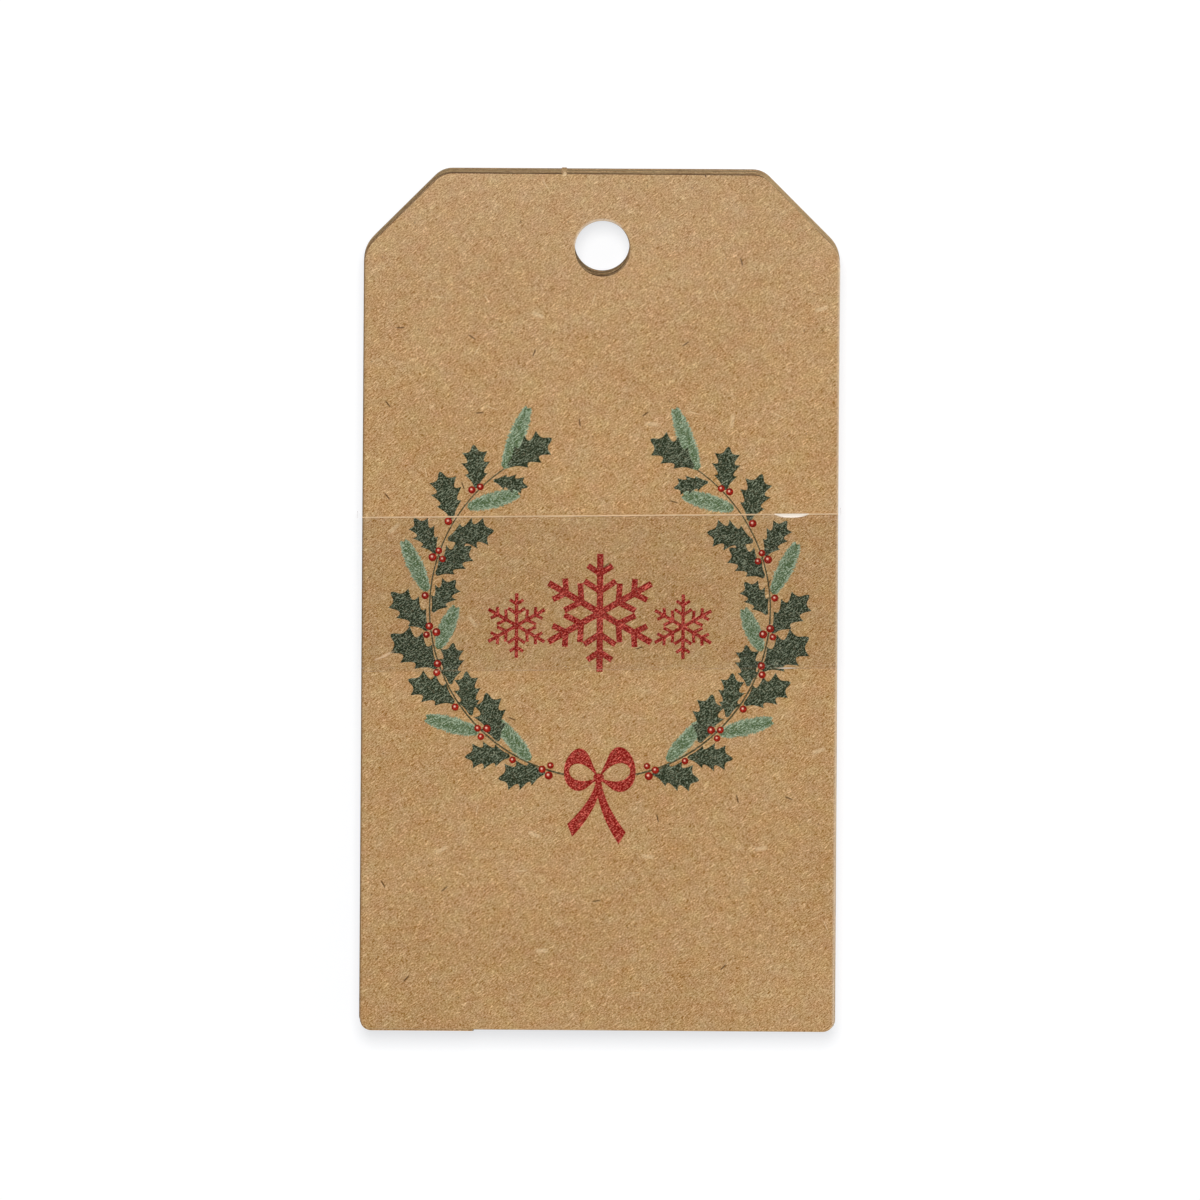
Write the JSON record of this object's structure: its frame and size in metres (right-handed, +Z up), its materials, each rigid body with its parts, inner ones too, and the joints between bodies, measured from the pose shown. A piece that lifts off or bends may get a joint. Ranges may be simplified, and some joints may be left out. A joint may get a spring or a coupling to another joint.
{
  "type": "pack of gift tags",
  "caption": "Stack of kraft-board gift tags with two cut corners, a punched string hole and a printed wreath, held together by a clear film band.",
  "frame": {"origin": "on the surface that the pack lies on, under the middle of the pack", "axes": "+X across the tags, +Y along them to the punched head, +Z up and out of the printed faces"},
  "size_m": [0.0508, 0.0904, 0.0059],
  "materials": {
    "kraft_board": "uncoated",
    "clear_film": "clear gloss"
  },
  "bodies": {
    "back_tag": {"tag_01_back": "kraft_board"},
    "tag_02": {"tag_02": "kraft_board"},
    "tag_03": {"tag_03": "kraft_board"},
    "tag_04": {"tag_04": "kraft_board"},
    "tag_05": {"tag_05": "kraft_board"},
    "tag_06": {"tag_06": "kraft_board"},
    "tag_07": {"tag_07": "kraft_board"},
    "tag_08": {"tag_08": "kraft_board"},
    "tag_09": {"tag_09": "kraft_board"},
    "tag_10": {"tag_10": "kraft_board"},
    "tag_11": {"tag_11": "kraft_board"},
    "front_tag": {"tag_12_front": "kraft_board"},
    "band": {"film_band": "clear_film"}
  },
  "joints": [
    {"name": "tag_02_draw", "type": "slide", "parent": "back_tag", "child": "tag_02", "axis": [0, 1, 0], "range_m": [-0.054, 0.056]},
    {"name": "tag_03_draw", "type": "slide", "parent": "back_tag", "child": "tag_03", "axis": [0, 1, 0], "range_m": [-0.054, 0.056]},
    {"name": "tag_04_draw", "type": "slide", "parent": "back_tag", "child": "tag_04", "axis": [0, 1, 0], "range_m": [-0.054, 0.056]},
    {"name": "tag_05_draw", "type": "slide", "parent": "back_tag", "child": "tag_05", "axis": [0, 1, 0], "range_m": [-0.054, 0.056]},
    {"name": "tag_06_draw", "type": "slide", "parent": "back_tag", "child": "tag_06", "axis": [0, 1, 0], "range_m": [-0.054, 0.056]},
    {"name": "tag_07_draw", "type": "slide", "parent": "back_tag", "child": "tag_07", "axis": [0, 1, 0], "range_m": [-0.054, 0.056]},
    {"name": "tag_08_draw", "type": "slide", "parent": "back_tag", "child": "tag_08", "axis": [0, 1, 0], "range_m": [-0.054, 0.056]},
    {"name": "tag_09_draw", "type": "slide", "parent": "back_tag", "child": "tag_09", "axis": [0, 1, 0], "range_m": [-0.054, 0.056]},
    {"name": "tag_10_draw", "type": "slide", "parent": "back_tag", "child": "tag_10", "axis": [0, 1, 0], "range_m": [-0.054, 0.056]},
    {"name": "tag_11_draw", "type": "slide", "parent": "back_tag", "child": "tag_11", "axis": [0, 1, 0], "range_m": [-0.054, 0.056]},
    {"name": "front_tag_draw", "type": "slide", "parent": "back_tag", "child": "front_tag", "axis": [0, 1, 0], "range_m": [-0.054, 0.056]},
    {"name": "band_slide", "type": "slide", "parent": "back_tag", "child": "band", "axis": [0, 1, 0], "range_m": [-0.056, 0.054]}
  ]
}
